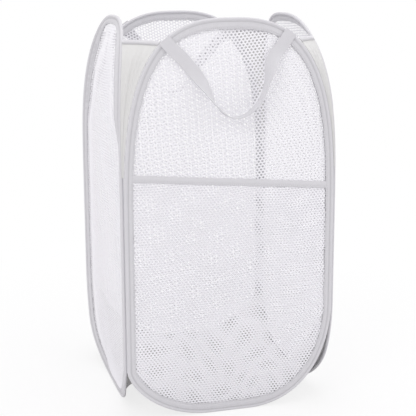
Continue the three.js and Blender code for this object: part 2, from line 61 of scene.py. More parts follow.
sensor_width = 36.0
focal_share = 2.5222  # of the picture's width
camera_shift = (0.0157, -0.0202)
floor_size = 14
floor_depth = 0.0005  # under the hamper
floor_colour = (0.87, 0.865, 0.87)
floor_whiteness = 0.8  # near the hamper, and full from floor_fade's second distance on
floor_fade = (0.25, 0.9)
room_colour = (0.905, 0.895, 0.91)
room_strength = 0.85

bpy.ops.object.select_all(action="DESELECT")
away = Vector(
    (
        math.sin(camera_turn) * math.cos(camera_lift),
        -math.cos(camera_turn) * math.cos(camera_lift),
        math.sin(camera_lift),
    )
)
bpy.ops.object.camera_add(location=Vector((0, 0, aim_height)) + away * camera_distance)
camera = bpy.context.object
camera.name = "camera"
level = Vector((math.cos(camera_turn), math.sin(camera_turn), 0))
upright = Matrix((level, away.cross(level), away)).transposed()
camera.rotation_euler = (upright @ Matrix.Rotation(camera_roll, 3, "Z")).to_euler()
camera.data.sensor_width = sensor_width
camera.data.lens = sensor_width * focal_share
camera.data.shift_x, camera.data.shift_y = camera_shift
camera.data.clip_start = 0.05
bpy.context.scene.camera = camera


def lamp(name, place, target, size, power, colour):
    bpy.ops.object.light_add(type="AREA", location=place)
    light = bpy.context.object
    light.name = name
    light.rotation_euler = (Vector(target) - Vector(place)).to_track_quat("-Z", "Y").to_euler()
    light.data.size = size
    light.data.energy = power
    light.data.color = colour


lamp("lamp_left", (-1.5, -1.6, 2.1), (0, 0, 0.35), 1.5, 17, (1.0, 0.985, 0.985))
lamp("lamp_right", (1.9, -0.9, 1.5), (0, 0, 0.35), 1.3, 9, (1.0, 0.99, 1.0))
lamp("lamp_above", (0.1, 0.4, 2.4), (0, 0, 0.3), 1.6, 13, (1.0, 0.99, 1.0))


def add(tree, kind, feeds, **settings):
    """A new shader node with its settings, its inputs fed by values and by other nodes' sockets."""
    node = tree.nodes.new("ShaderNode" + kind)
    for name, value in settings.items():
        setattr(node, name, value)
    for name, value in feeds.items():
        if isinstance(value, bpy.types.NodeSocket):
            tree.links.new(value, node.inputs[name])
        else:
            node.inputs[name].default_value = value
    return node


def blended(tree, share, first, second, out):
    """Ends a tree in a mix of two shaders."""
    either = add(tree, "MixShader", {0: share, 1: first.outputs[0], 2: second.outputs[0]})
    add(tree, out, {"Surface": either.outputs[0]})


white = (1, 1, 1, 1)
room = bpy.data.worlds.new("room")
bpy.context.scene.world = room
room.use_nodes = True
tree = room.node_tree
tree.nodes.clear()
seen = add(tree, "LightPath", {})
share = seen.outputs["Is Camera Ray"]
for ray in ("Is Glossy Ray", "Is Transmission Ray"):
    share = add(tree, "Math", {0: share, 1: seen.outputs[ray]}, operation="MAXIMUM").outputs[0]
soft = add(tree, "Background", {"Color": (*room_colour, 1), "Strength": room_strength})
blended(tree, share, soft, add(tree, "Background", {"Color": white}), "OutputWorld")

bpy.ops.mesh.primitive_plane_add(size=floor_size, location=(0, 0, -floor_depth))
floor = bpy.context.object
floor.name = "floor"
bpy.ops.object.transform_apply(location=True)
pale = bpy.data.materials.new("pale_floor")
pale.use_nodes = True
tree = pale.node_tree
tree.nodes.clear()
place = add(tree, "TexCoord", {}).outputs["Object"]
reach = add(tree, "VectorMath", {0: place}, operation="LENGTH").outputs["Value"]
fade = {
    "Value": reach,
    "From Min": floor_fade[0],
    "From Max": floor_fade[1],
    "To Min": floor_whiteness,
}
far = add(tree, "MapRange", fade, interpolation_type="SMOOTHSTEP").outputs["Result"]
seen = add(tree, "LightPath", {}).outputs["Is Camera Ray"]
share = add(tree, "Math", {0: seen, 1: far}, operation="MULTIPLY").outputs[0]
matte = add(tree, "BsdfDiffuse", {"Color": (*floor_colour, 1)})
blended(tree, share, matte, add(tree, "Emission", {"Color": white}), "OutputMaterial")
floor.data.materials.append(pale)

# Hoop wires and ferrules: each hoop is one ring of bright spring steel, 2.2 mm thick, whose two
# ends meet in a crimped steel sleeve. They lie inside the binding and keep the CAD's shape.
steel_colour = (0.56, 0.57, 0.59)


def surface(name, roughness, metallic=0.0, sheen=0.0):
    """A new material and its Principled shader, set on the shader's own sockets."""
    material = bpy.data.materials.new(name)
    material.use_nodes = True
    shader = material.node_tree.nodes["Principled BSDF"]
    shader.inputs["Roughness"].default_value = roughness
    shader.inputs["Metallic"].default_value = metallic
    shader.inputs["Sheen Weight"].default_value = sheen
    shader.inputs["Sheen Roughness"].default_value = 0.5
    return material, shader


def give(piece, material):
    piece.data.materials.clear()
    piece.data.materials.append(material)


steel, shader = surface("spring_steel", 0.32, metallic=1.0)
tree = steel.node_tree
place = add(tree, "TexCoord", {}).outputs["Object"]
streaks = add(tree, "TexNoise", {"Vector": place, "Scale": 900, "Detail": 3}).outputs["Fac"]
darker, lighter = ((*(share * c for c in steel_colour), 1) for share in (0.82, 1.12))
tone = add(tree, "Mix", {"Factor": streaks, "A": darker, "B": lighter}, data_type="RGBA")
tree.links.new(tone.outputs["Result"], shader.inputs["Base Color"])
drawn = add(tree, "Bump", {"Height": streaks, "Strength": 0.15, "Distance": 0.0001})
tree.links.new(drawn.outputs["Normal"], shader.inputs["Normal"])
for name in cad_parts:
    if name.endswith(("_hoop_wire", "_ferrule")):
        give(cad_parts[name], steel)

# Mesh panels: each is cut from one piece of knitted polyester net, flat, a little inside its hoop,
# and is stretched as the hoop springs open. The net has staggered six-sided holes. All are sewn in
# a few degrees askew, and the back one 30 degrees, so two nets seen through each other hatch.
hamper_height = 0.640
half_span = 0.173  # from the middle to the fold line of a corner
plane_offset = 0.00246  # of a hoop's wire, outside that line
bead_radius = 0.0027
hoop_half_width = half_span - plane_offset
hoop_top = hamper_height - bead_radius
hoop_foot = 0.0023
shoulder_start = 0.316
tight_corner = 0.084  # how high each of the two lower bends ends
loose_corner = 0.170
foot_length = 0.056  # of the straight part on the floor
tight_powers = (2.2, 1.45)  # of the bends and the crown, across and up: 2 is an oval
loose_powers = (2.25, 2.0)
crown_powers = (2.74, 3.0)
crown_lean_rise = 0.256
foot_lean_rise = 0.080
hole_pitch = 0.0062
row_pitch = 0.0044
strand_width = 0.0023
strand_rise = 0.00042  # of its ridge, on each side
net_tuck = 0.0042  # from the wire to where the net is cut
net_slack = 0.0008  # how far the cut net wanders from square when it is sewn in
net_margin = 0.028  # of knitting laid out beyond the cut
layer_out = 0.000775  # of the front panel's two nets, either side of the middle of its binding
turn_reach = 0.018  # how far into the net the tape's turn about its wire is felt
turn_ease = 0.06
# each turn: the side of the panel, how steeply the tape leaves its plane, and between what heights
panels = {
    "front": {"turn": 0, "lean": (0.004, 0.004), "tight": -1, "turns": []},
    "right": {
        "turn": 1,
        "lean": (0.028, 0.015),
        "tight": 1,
        "turns": [(1, -0.9, -0.06, 0.64), (1, -0.6, 0.44, 0.64), (-1, 1.3, 0.44, 0.64)],
    },
    "back": {"turn": 2, "lean": (0.004, 0.004), "tight": -1, "turns": []},
    "left": {
        "turn": 3,
        "lean": (0.028, 0.015),
        "tight": 1,
        "turns": [(-1, -0.9, -0.06, 0.64), (-1, -0.6, 0.44, 0.64), (1, 1.3, 0.44, 0.64)],
    },
}


def places_of(piece):
    co = np.empty(3 * len(piece.data.vertices))
    piece.data.vertices.foreach_get("co", co)
    return co.reshape(-1, 3)


def put_places(piece, places):
    piece.data.vertices.foreach_set("co", np.ascontiguousarray(places, float).ravel())
    piece.data.update()


def only(piece):
    """Leaves that piece alone selected and active."""
    if bpy.context.object and bpy.context.object.mode != "OBJECT":
        bpy.ops.object.mode_set(mode="OBJECT")
    bpy.ops.object.select_all(action="DESELECT")
    piece.select_set(True)
    bpy.context.view_layer.objects.active = piece
    return piece


def quarter(run, rise, across, up):
    """A quarter of a curve between an oval and a square, from its end to its side."""
    angle = np.linspace(0, math.pi / 2, 400)
    return run * np.sin(angle) ** (2 / across), rise * np.cos(angle) ** (2 / up)


def hoop_line(tight, spacing=0.004):
    """A hoop laid flat: its places, outward normals and lengths along, from the foot's middle."""
    halves = []
    for side in (-1, 1):
        is_tight = side == tight
        top = tight_corner if is_tight else loose_corner
        powers = tight_powers if is_tight else loose_powers
        x, y = quarter(hoop_half_width - foot_length / 2, top - hoop_foot, *powers)
        foot = np.stack([foot_length / 2 + x, top - y], 1)
        x, y = quarter(hoop_half_width, hoop_top - shoulder_start, *crown_powers)
        crown = np.stack([x, shoulder_start + y], 1)[::-1]
        line = np.vstack([[[0, hoop_foot]], foot, crown])
        line[:, 0] *= side
        halves.append(line)
    line = np.vstack([halves[1], halves[0][::-1][1:]])
    step = np.linalg.norm(np.diff(line, axis=0), axis=1)
    reach = np.concatenate([[0], np.cumsum(step)])
    keep = np.concatenate([[True], step > 1e-7])
    line, reach = line[keep], reach[keep]
    count = int(reach[-1] / spacing)
    lengths = np.linspace(0, reach[-1], count + 1)
    flat = np.stack([np.interp(lengths, reach, line[:, i]) for i in (0, 1)], 1)
    along = np.gradient(flat, axis=0)
    along[0] = along[-1] = flat[1] - flat[-2]
    along /= np.linalg.norm(along, axis=1)[:, None]
    return flat, np.stack([along[:, 1], -along[:, 0]], 1), lengths


def eased(share):
    share = np.clip(share, 0, 1)
    return share * share * (3 - 2 * share)


def turned_out(panel, places):
    """How far the tape's turn about its wire carries each flat place out of the panel's plane."""
    across, up = places[:, 0], places[:, 1]
    steep = np.zeros(len(places))
    for side, slope, low, high in panel["turns"]:
        rise = eased((up - low) / turn_ease) * eased((high - up) / turn_ease)
        steep += slope * eased(side * across / turn_ease) * rise
    moved = np.flatnonzero(steep)
    if not len(moved):
        return steep
    flat, normal, _ = hoop_line(panel["tight"], 0.001)
    wire = KDTree(len(flat))
    for i, (x, y) in enumerate(flat):
        wire.insert((x, y, 0), i)
    wire.balance()
    near = [wire.find((x, y, 0))[1] for x, y in places[moved, :2]]
    inside = -np.sum((places[moved, :2] - flat[near]) * normal[near], axis=1)
    inside = np.clip(inside - bead_radius, 0, None)
    steep[moved] *= inside * np.exp(-inside / turn_reach)
    return steep


def lean_of(panel, height):
    crown, foot = panel["lean"]
    up = np.clip((height - hamper_height + crown_lean_rise) / crown_lean_rise, 0, None)
    down = np.clip((foot_lean_rise - height) / foot_lean_rise, 0, None)
    slope = 3 * crown * up**2 / crown_lean_rise - 2 * foot * down / foot_lean_rise
    return crown * up**3 + foot * down**2, slope


def stood_up(panel, places):
    """Places of a panel laid flat, (across, height, out), as the panel stands in the hamper."""
    inward, slope = lean_of(panel, places[:, 1])
    length = np.hypot(1, slope)
    out = places[:, 2] + turned_out(panel, places)
    x = places[:, 0]
    y = inward - half_span - plane_offset - out / length
    z = places[:, 1] + out * slope / length
    turn = panel["turn"] * math.pi / 2
    c, s = round(math.cos(turn)), round(math.sin(turn))
    return np.stack([c * x - s * y, s * x + c * y, z], 1)


def stand(piece, panel):
    put_places(piece, stood_up(panel, places_of(piece)))


def within(places, line):
    """Which places lie inside a closed flat line."""
    inside = np.zeros(len(places), bool)
    for (x0, y0), (x1, y1) in zip(line, np.roll(line, -1, axis=0)):
        if y0 == y1:
            continue
        crosses = (y0 > places[:, 1]) != (y1 > places[:, 1])
        at = x0 + (places[:, 1] - y0) * (x1 - x0) / (y1 - y0)
        inside ^= crosses & (places[:, 0] < at)
    return inside


def laid_askew(places, angle, seed):
    """A net's places turned a little and let wander, as cloth lies when it is cut and sewn."""
    chance = np.random.default_rng(seed)
    x, y = places[:, 0].copy(), places[:, 1] - hamper_height / 2
    c, s = math.cos(angle), math.sin(angle)
    places[:, 0] = c * x - s * y
    places[:, 1] = hamper_height / 2 + s * x + c * y
    for axis, share in ((0, y), (1, x), (0, x + y), (1, x - y)):
        for period in (0.11, 0.17, 0.29):
            wave = np.sin(2 * math.pi * (share / period + chance.random()))
            places[:, axis] += net_slack * chance.random() * wave
    return places


def knit_net(name, line, low, high, angle, seed, draw=1.0):
    """A flat net over a height, cut to a line: one cell, copied in staggered rows. Each cell is six
    strands, with a ridge on either side, round a six-sided hole."""
    pitch, row, strand = draw * hole_pitch, draw * row_pitch, draw * strand_width
    cell_top = (pitch**2 / 4 + row**2) / (2 * row)
    cell_side = row - cell_top
    bpy.ops.object.select_all(action="DESELECT")
    bpy.ops.mesh.primitive_circle_add(vertices=6, radius=cell_top, fill_type="NGON")
    net = bpy.context.object
    net.name = name
    ring = [
        (0, cell_top),
        (-pitch / 2, cell_side),
        (-pitch / 2, -cell_side),
        (0, -cell_top),
        (pitch / 2, -cell_side),
        (pitch / 2, cell_side),
    ]
    put_places(net, np.array([(x, y, strand_rise) for x, y in ring]))
    bpy.ops.object.mode_set(mode="EDIT")
    bpy.ops.mesh.select_mode(type="FACE")
    bpy.ops.mesh.select_all(action="SELECT")
    bpy.ops.mesh.inset(thickness=strand / 2, depth=0)
    bpy.ops.transform.translate(value=(0, 0, -strand_rise))
    bpy.ops.mesh.delete(type="FACE")
    bpy.ops.mesh.select_all(action="SELECT")
    bpy.ops.mesh.duplicate()
    bpy.ops.transform.resize(value=(1, 1, -1), center_override=(0, 0, 0))
    bpy.ops.mesh.flip_normals()
    bpy.ops.mesh.select_all(action="SELECT")
    bpy.ops.mesh.remove_doubles(threshold=1e-6)
    bpy.ops.mesh.duplicate()
    bpy.ops.transform.translate(value=(pitch / 2, row, 0))
    bpy.ops.object.mode_set(mode="OBJECT")
    c, s = math.cos(math.radians(angle)), abs(math.sin(math.radians(angle)))
    half_width, half_height = hoop_half_width + net_margin, (high - low) / 2 + net_margin
    width = 2 * math.ceil((c * half_width + s * half_height) / pitch) + 1
    height = math.ceil((c * half_height + s * half_width) / row) + 1
    for count, step in ((width, (pitch, 0, 0)), (height, (0, 2 * row, 0))):
        rows = net.modifiers.new("rows", "ARRAY")
        rows.count = count
        rows.use_relative_offset = False
        rows.use_constant_offset = True
        rows.constant_offset_displace = step
        bpy.ops.object.modifier_apply(modifier=rows.name)
    places = places_of(net)
    places += (-(width // 2) * pitch, (low + high) / 2 - (height - 1) * row, 0)
    places = laid_askew(places, math.radians(angle), seed)
    put_places(net, places)
    keep = within(places, line) & (places[:, 1] > low) & (places[:, 1] < high)
    sides = np.empty(len(net.data.loops), int)
    net.data.loops.foreach_get("vertex_index", sides)
    # a cell's places lie together, six on each ridge and six between, and its faces have four sides
    cell_size = 18
    whole = keep.reshape(-1, cell_size).all(axis=1)
    cut_off = ~whole[sides.reshape(-1, 4)[:, 0] // cell_size]
    bpy.ops.object.mode_set(mode="EDIT")
    bpy.ops.mesh.select_all(action="DESELECT")
    bpy.ops.object.mode_set(mode="OBJECT")
    net.data.polygons.foreach_set("select", cut_off)
    bpy.ops.object.mode_set(mode="EDIT")
    bpy.ops.mesh.delete(type="FACE")
    bpy.ops.mesh.select_all(action="SELECT")
    bpy.ops.mesh.remove_doubles(threshold=1e-5)
    # the cut edge is drawn flat, so that its two faces meet
    bpy.ops.mesh.select_mode(type="VERT")
    bpy.ops.mesh.select_all(action="DESELECT")
    bpy.ops.mesh.select_non_manifold(extend=False)
    bpy.ops.transform.resize(value=(1, 1, 0), center_override=(0, 0, 0))
    bpy.ops.mesh.remove_doubles(threshold=1e-5)
    bpy.ops.object.mode_set(mode="OBJECT")
    bpy.ops.object.shade_flat()
    return net


def cut_line(tight, inset):
    flat, normal, _ = hoop_line(tight)
    return (flat - normal * inset)[:-1]


def group_face(name, ins, outs):
    """An empty node group with those sockets, by name and kind."""
    group = bpy.data.node_groups.new(name, "ShaderNodeTree")
    for in_out, sockets in (("INPUT", ins), ("OUTPUT", outs)):
        for label, kind in sockets.items():
            group.interface.new_socket(label, in_out=in_out, socket_type="NodeSocket" + kind)
    return group, group.nodes.new("NodeGroupInput"), group.nodes.new("NodeGroupOutput")


def calc(group, operation, *values):
    """The sum a Math node makes of numbers and of other nodes' sockets."""
    return add(group, "Math", dict(enumerate(values)), operation=operation).outputs[0]


def noise_in(group, vector, scale, detail):
    feeds = {"Vector": vector, "Scale": scale, "Detail": detail}
    return add(group, "TexNoise", feeds).outputs["Fac"]


def toned(group, into, out, change):
    """Lightens and darkens the group's colour by a change around zero."""
    feeds = {0: into.outputs["Color"], "Scale": calc(group, "ADD", change, 1.0)}
    tone = add(group, "VectorMath", feeds, operation="SCALE")
    group.links.new(tone.outputs[0], out.inputs["Color"])


cloth_ins = {"Vector": "Vector", "Color": "Color", "Pitch": "Float"}
cloth_ins.update({"Tint": "Float", "Roughness": "Float", "Painted_Groove_Shade": "Float"})
cloth_outs = {"Color": "Color", "Height": "Float", "Roughness": "Float"}


def yarn_group():
    """Fine filaments with broader, fainter soiling over them."""
    group, into, out = group_face("spun_yarn", cloth_ins, cloth_outs)
    per_metre = calc(group, "DIVIDE", 1.0, into.outputs["Pitch"])
    fine = noise_in(group, into.outputs["Vector"], per_metre, 3)
    broad = noise_in(group, into.outputs["Vector"], 11.0, 3)
    uneven = calc(group, "SUBTRACT", calc(group, "ADD", fine, broad), 1.0)
    change = calc(group, "MULTIPLY", uneven, into.outputs["Tint"])
    # the painted shade attribute is taken off the colour, darker in grooves and recesses
    toned(group, into, out, calc(group, "SUBTRACT", change, into.outputs["Painted_Groove_Shade"]))
    group.links.new(fine, out.inputs["Height"])
    rough = calc(group, "ADD", into.outputs["Roughness"], calc(group, "MULTIPLY", uneven, 0.25))
    group.links.new(rough, out.inputs["Roughness"])
    return group


def cloth_material(name, group, colour, pitch, depth, roughness, sheen, tint, uv=None):
    """A cloth whose colour, roughness and relief come from a group, on Object or UV places."""
    material, shader = surface(name, roughness, sheen=sheen)
    tree = material.node_tree
    if uv:
        place = add(tree, "UVMap", {}, uv_map=uv).outputs["UV"]
    else:
        place = add(tree, "TexCoord", {}).outputs["Object"]
    threads = tree.nodes.new("ShaderNodeGroup")
    threads.node_tree = group
    threads.inputs["Color"].default_value = (*colour, 1)
    for label, value in (("Pitch", pitch), ("Tint", tint), ("Roughness", roughness)):
        threads.inputs[label].default_value = value
    # painted shade: an attribute that darkens the colour in the grooves and recesses of tapes and
    # hems
    painted_groove_shade = add(tree, "Attribute", {}, attribute_name="painted_groove_shade")
    tree.links.new(place, threads.inputs["Vector"])
    tree.links.new(painted_groove_shade.outputs["Fac"], threads.inputs["Painted_Groove_Shade"])
    tree.links.new(threads.outputs["Color"], shader.inputs["Base Color"])
    tree.links.new(threads.outputs["Roughness"], shader.inputs["Roughness"])
    height = threads.outputs["Height"]
    bump = add(tree, "Bump", {"Height": height, "Strength": 0.6, "Distance": depth})
    tree.links.new(bump.outputs["Normal"], shader.inputs["Normal"])
    return material


yarn = yarn_group()
net_colour = (0.90, 0.895, 0.925)
net_cloth = cloth_material("knitted_net", yarn, net_colour, 0.0006, 0.00015, 0.6, 0.2, 0.06)
askew = {"front": 3.4, "right": -1.6, "back": 30.0, "left": 1.9}
for seed, (name, panel) in enumerate(panels.items()):
    line = cut_line(panel["tight"], net_tuck)
    low, high = line[:, 1].min(), line[:, 1].max()
    net = knit_net(f"{name}_net", line, low, high, askew[name], seed)
    if name == "front":
        places = places_of(net)
        places[:, 2] -= layer_out
        put_places(net, places)
    stand(net, panel)
    give(net, net_cloth)
    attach(net, f"{name}_panel")
    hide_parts(f"{name}_mesh")

# Bindings: the edge of each hoop is one woven polyester tape, 11 mm wide at the sides and 15 mm at
# the crown and the foot, folded round the wire and over the cut net, and closed with a row of
# stitches near its edges.
tape_thickness = 0.0006
side_tape_width = 0.011
end_tape_width = 0.015
leaning_end_width = 0.0118  # of the two panels whose crowns lean in, where less of the tape shows
single_leg = 0.00115  # from the middle of the net to the outside of the tape
double_leg = 0.001925  # at the front, where the pocket's net is in it as well
stitch_step = 0.0034
stitch_size = (0.00125, 0.00026, 0.00022)  # half its length, width and height
stitch_inset = 0.0019  # from the tape's edge
tape_spacing = 0.0025


def strip(name, places, laid, closed=False, painted_groove_shades=None):
    """A strip of quads through rows of places, with its lengths laid flat as its UV map, and the
    painted shade of each column, darker in its grooves and recesses, as an attribute."""
    rows, columns = places.shape[:2]
    bpy.ops.object.select_all(action="DESELECT")
    bpy.ops.mesh.primitive_grid_add(x_subdivisions=columns - 1, y_subdivisions=rows - 1, size=2)
    piece = bpy.context.object
    piece.name = name
    grid = places_of(piece)
    column = np.rint((grid[:, 0] + 1) / 2 * (columns - 1)).astype(int)
    row = np.rint((grid[:, 1] + 1) / 2 * (rows - 1)).astype(int)
    put_places(piece, places[row, column])
    corner = np.empty(len(piece.data.loops), int)
    piece.data.loops.foreach_get("vertex_index", corner)
    while piece.data.uv_layers:
        piece.data.uv_layers.remove(piece.data.uv_layers[0])
    flat = piece.data.uv_layers.new(name="laid_flat")
    flat.data.foreach_set("uv", laid[row[corner], column[corner]].ravel())
    if painted_groove_shades is not None:
        # each column's painted shade, darker where its groove or recess lies in shade
        dark = piece.data.attributes.new("painted_groove_shade", "FLOAT", "POINT")
        dark.data.foreach_set("value", np.array(painted_groove_shades, float)[column])
    if closed:
        bpy.ops.object.mode_set(mode="EDIT")
        bpy.ops.mesh.select_all(action="SELECT")
        bpy.ops.mesh.remove_doubles(threshold=1e-7)
        bpy.ops.mesh.normals_make_consistent(inside=False)
        bpy.ops.object.mode_set(mode="OBJECT")
    return piece


def laid_out(lengths, ring):
    """A tape laid flat: its lengths along, and its width round the ring of its section."""
    girth = np.cumsum(np.linalg.norm(np.diff(ring, axis=0, prepend=ring[:1]), axis=1))
    return np.stack(np.broadcast_arrays(lengths[:, None], girth[None, :]), axis=2)


def smooth(piece, degrees=40):
    only(piece)
    bpy.ops.object.shade_smooth_by_angle(angle=math.radians(degrees))


def wandering(lengths, period, seed):
    """A smooth line that wanders between about -1 and 1, and closes on itself."""
    chance = np.random.default_rng(seed)
    turns = max(1, round(lengths[-1] / period))
    total = np.zeros(len(lengths))
    for share in (0.6, 1.0, 1.7):
        count = max(1, round(turns * share))
        total += np.sin(2 * math.pi * (count * lengths / lengths[-1] + chance.random()))
    return total / 2


def tape_width(panel, normal):
    end = leaning_end_width if panel["turns"] else end_tape_width
    return side_tape_width + (end - side_tape_width) * normal[:, 1] ** 2


def bind(name, panel, leg, seed):
    """The folded tape round one hoop, laid flat and then stood up, with its stitches."""
    flat, normal, lengths = hoop_line(panel["tight"], tape_spacing)
    width = tape_width(panel, normal) + 0.0004 * wandering(lengths, 0.05, seed)
    start = math.pi - math.asin(leg / bead_radius)
    arc = np.linspace(start, -start, 13)
    puff = 0.00022 * wandering(lengths, 0.011, seed + 1)
    rows = []
    for i, wide in enumerate(width):
        thread = wide - stitch_inset
        # from the tape's edge, over the dip of the stitches, to the dip beside the bead
        face = [
            (-wide, leg - 0.00022),
            (-wide + 0.0001, leg - 0.00004),
            (-wide + 0.0005, leg + 0.0001),
            (-thread - 0.0005, leg + 0.00006),
            (-thread, leg - 0.0002),
            (-thread + 0.0006, leg + 0.00008),
            (-0.6 * wide, leg + 0.00026 + puff[i]),
            (-bead_radius - 0.0022, leg + 0.0001 + puff[i]),
            (-bead_radius - 0.0009, leg - 0.0002),
        ]
        bead = [(bead_radius * math.cos(a), bead_radius * math.sin(a)) for a in arc]
        inner = leg - tape_thickness
        hollow = [
            (-wide, -inner),
            (-bead_radius - 0.0004, -inner),
            (-bead_radius - 0.0004, inner),
            (-wide, inner),
        ]
        rows.append(face + bead + [(a, -o) for a, o in face[::-1]] + hollow + [face[0]])
    section = np.array(rows)
    flat_places = np.concatenate(
        [
            flat[:, None, :] + normal[:, None, :] * section[:, :, :1],
            section[:, :, 1:],
        ],
        axis=2,
    )
    # painted shade round the tape's section: darker at its edges, in the dips of its stitches,
    # beside its bead and in its hidden hollow
    face = [0.12, 0.1, 0.02, 0.06, 0.2, 0.03, 0, 0.04, 0.22]
    painted_groove_shades = face + [0.05, *[0] * 11, 0.05] + face[::-1] + [0.1] * 5
    laid = laid_out(lengths, section[0])
    tape = strip(f"{name}_tape", flat_places, laid, closed=True, painted_groove_shades=painted_groove_shades)
    stand(tape, panel)
    places = places_of(tape)
    places[:, 2] = np.maximum(places[:, 2], 0)
    put_places(tape, places)
    smooth(tape)
    at = np.arange(0, lengths[-1], stitch_step)
    mid = np.stack([np.interp(at, lengths, flat[:, i]) for i in (0, 1)], 1)
    out = np.stack([np.interp(at, lengths, normal[:, i]) for i in (0, 1)], 1)
    wide = np.interp(at, lengths, width)
    line = mid - out * (wide - stitch_inset)[:, None]
    along = np.stack([-out[:, 1], out[:, 0], np.zeros(len(at))], 1)
    rows = []
    for side in (1, -1):
        rows.append(np.column_stack([line, np.full(len(at), side * (leg - 0.00004))]))
    thread = stitches(f"{name}_stitches", np.vstack(rows), np.vstack([along, along]))
    stand(thread, panel)
    return tape, thread


def stitches(name, middles, along):
    """One stitch, copied at each middle and turned along the seam, with its face along Z."""
    bpy.ops.object.select_all(action="DESELECT")
    bpy.ops.mesh.primitive_uv_sphere_add(segments=6, ring_count=4, radius=1)
    piece = bpy.context.object
    piece.name = name
    # the pole of the primitive becomes the stitch's own direction
    shape = places_of(piece)[:, [2, 0, 1]] * stitch_size
    faces = [tuple(face.vertices) for face in piece.data.polygons]
    side = np.cross([0, 0, 1], along)
    copies = (
        middles[:, None, :]
        + shape[None, :, :1] * along[:, None, :]
        + shape[None, :, 1:2] * side[:, None, :]
        + shape[None, :, 2:] * np.array([0, 0, 1])
    )
    count = len(shape)
    piece.data.clear_geometry()
    piece.data.from_pydata(
        copies.reshape(-1, 3).tolist(),
        [],
        [tuple(v + k * count for v in face) for k in range(len(middles)) for face in faces],
    )
    only(piece)
    bpy.ops.object.shade_smooth()
    return piece


def weave_group():
    """Crossing warp and weft, with slubs in the yarn and faint broad soiling."""
    group, into, out = group_face("plain_weave", cloth_ins, cloth_outs)
    parts = add(group, "SeparateXYZ", {0: into.outputs["Vector"]})
    waves = []
    for axis in ("X", "Y"):
        turn = calc(group, "MULTIPLY", parts.outputs[axis], math.pi)
        turn = calc(group, "DIVIDE", turn, into.outputs["Pitch"])
        waves.append(calc(group, "ABSOLUTE", calc(group, "SINE", turn)))
    per_metre = calc(group, "DIVIDE", 1.0, into.outputs["Pitch"])
    checks = add(group, "TexChecker", {"Vector": into.outputs["Vector"], "Scale": per_metre})
    feeds = {"Factor": checks.outputs["Fac"], "A": waves[0], "B": waves[1]}
    over = add(group, "Mix", feeds, data_type="FLOAT")
    slubs = noise_in(group, into.outputs["Vector"], 90.0, 4)
    broad = noise_in(group, into.outputs["Vector"], 13.0, 3)
    height = calc(group, "ADD", over.outputs["Result"], calc(group, "MULTIPLY", slubs, 0.5))
    group.links.new(height, out.inputs["Height"])
    uneven = calc(group, "SUBTRACT", calc(group, "ADD", height, broad), 1.4)
    change = calc(group, "MULTIPLY", uneven, into.outputs["Tint"])
    # the painted shade attribute is taken off the colour, darker in grooves and recesses
    toned(group, into, out, calc(group, "SUBTRACT", change, into.outputs["Painted_Groove_Shade"]))
    rough = calc(group, "ADD", into.outputs["Roughness"], calc(group, "MULTIPLY", uneven, 0.12))
    group.links.new(rough, out.inputs["Roughness"])
    return group


weave = weave_group()
tape_colour = (0.668, 0.663, 0.688)
tape_cloth = cloth_material(
    "binding_tape", weave, tape_colour, 0.0006, 0.00012, 0.7, 0.25, 0.05, uv="laid_flat"
)
thread_colour = (0.76, 0.76, 0.79)
thread = cloth_material("sewing_thread", yarn, thread_colour, 0.0002, 0.00005, 0.55, 0.3, 0.1)
for seed, (name, panel) in enumerate(panels.items()):
    leg = double_leg if name == "front" else single_leg
    tape, row = bind(name, panel, leg, 10 * seed)
    give(tape, tape_cloth)
    give(row, thread)
    for piece, slot in ((tape, "tape"), (row, "thread")):
        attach(piece, f"{name}_panel")
    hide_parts(f"{name}_binding")

# Pocket: a second net in front of the first, in the same binding from the foot to 390 mm high. Its
# upper edge is free, and is finished with a straight tape folded over it and stitched. It lies a
# little askew, lower on the right.
pocket_top = 0.390  # at the middle
pocket_slope = -0.085
pocket_draw = 0.885  # its knitting lies that much closer than the front's
pocket_tape_width = 0.011
pocket_stitch_rise = 0.002  # from the tape's lower edge


def close_ends(piece):
    """Fills the open ends of a closed strip."""
    bpy.ops.object.mode_set(mode="EDIT")
    bpy.ops.mesh.select_all(action="DESELECT")
    bpy.ops.mesh.select_non_manifold()
    bpy.ops.mesh.fill()
    bpy.ops.mesh.select_all(action="SELECT")
    bpy.ops.mesh.normals_make_consistent(inside=False)
    bpy.ops.object.mode_set(mode="OBJECT")


line = cut_line(panels["front"]["tight"], net_tuck)
edge = pocket_top + pocket_slope * line[:, 0]
cut = np.stack([line[:, 0], np.minimum(line[:, 1], edge - 0.001)], 1)
pocket = knit_net("pocket_net", cut, cut[:, 1].min(), cut[:, 1].max(), 2.2, 9, draw=pocket_draw)
places = places_of(pocket)
places[:, 2] += layer_out
put_places(pocket, places)
stand(pocket, panels["front"])
give(pocket, net_cloth)
half_width = hoop_half_width - side_tape_width + 0.002
lengths = np.arange(-half_width, half_width, 0.0025)
lengths = np.append(lengths, half_width)
low = pocket_top - pocket_tape_width
wave = 0.00025 * wandering(lengths + half_width, 0.06, 77)
slope = pocket_slope * lengths
rows = []
for x, up, high in zip(lengths, wave, slope):
    face = [
        (0.0009, low + up),
        (0.0011, low + up + 0.0003),
        (0.001, low + pocket_stitch_rise - 0.0004),
        (0.00088, low + pocket_stitch_rise),
        (0.001, low + pocket_stitch_rise + 0.0004),
        (0.00108, low + 0.006),
        (0.00104, pocket_top - 0.0008),
        (0.0008, pocket_top - 0.0002),
    ]
    back = [(-o, z) for o, z in face[::-1]]
    fold = pocket_top - 0.0007
    hollow = [(-0.0004, low + up), (-0.0004, fold), (0.0004, fold), (0.0004, low + up)]
    ring = face + [(0, pocket_top)] + back + hollow + [face[0]]
    rows.append([(x, high + z, layer_out + o) for o, z in ring])
places = np.array(rows)
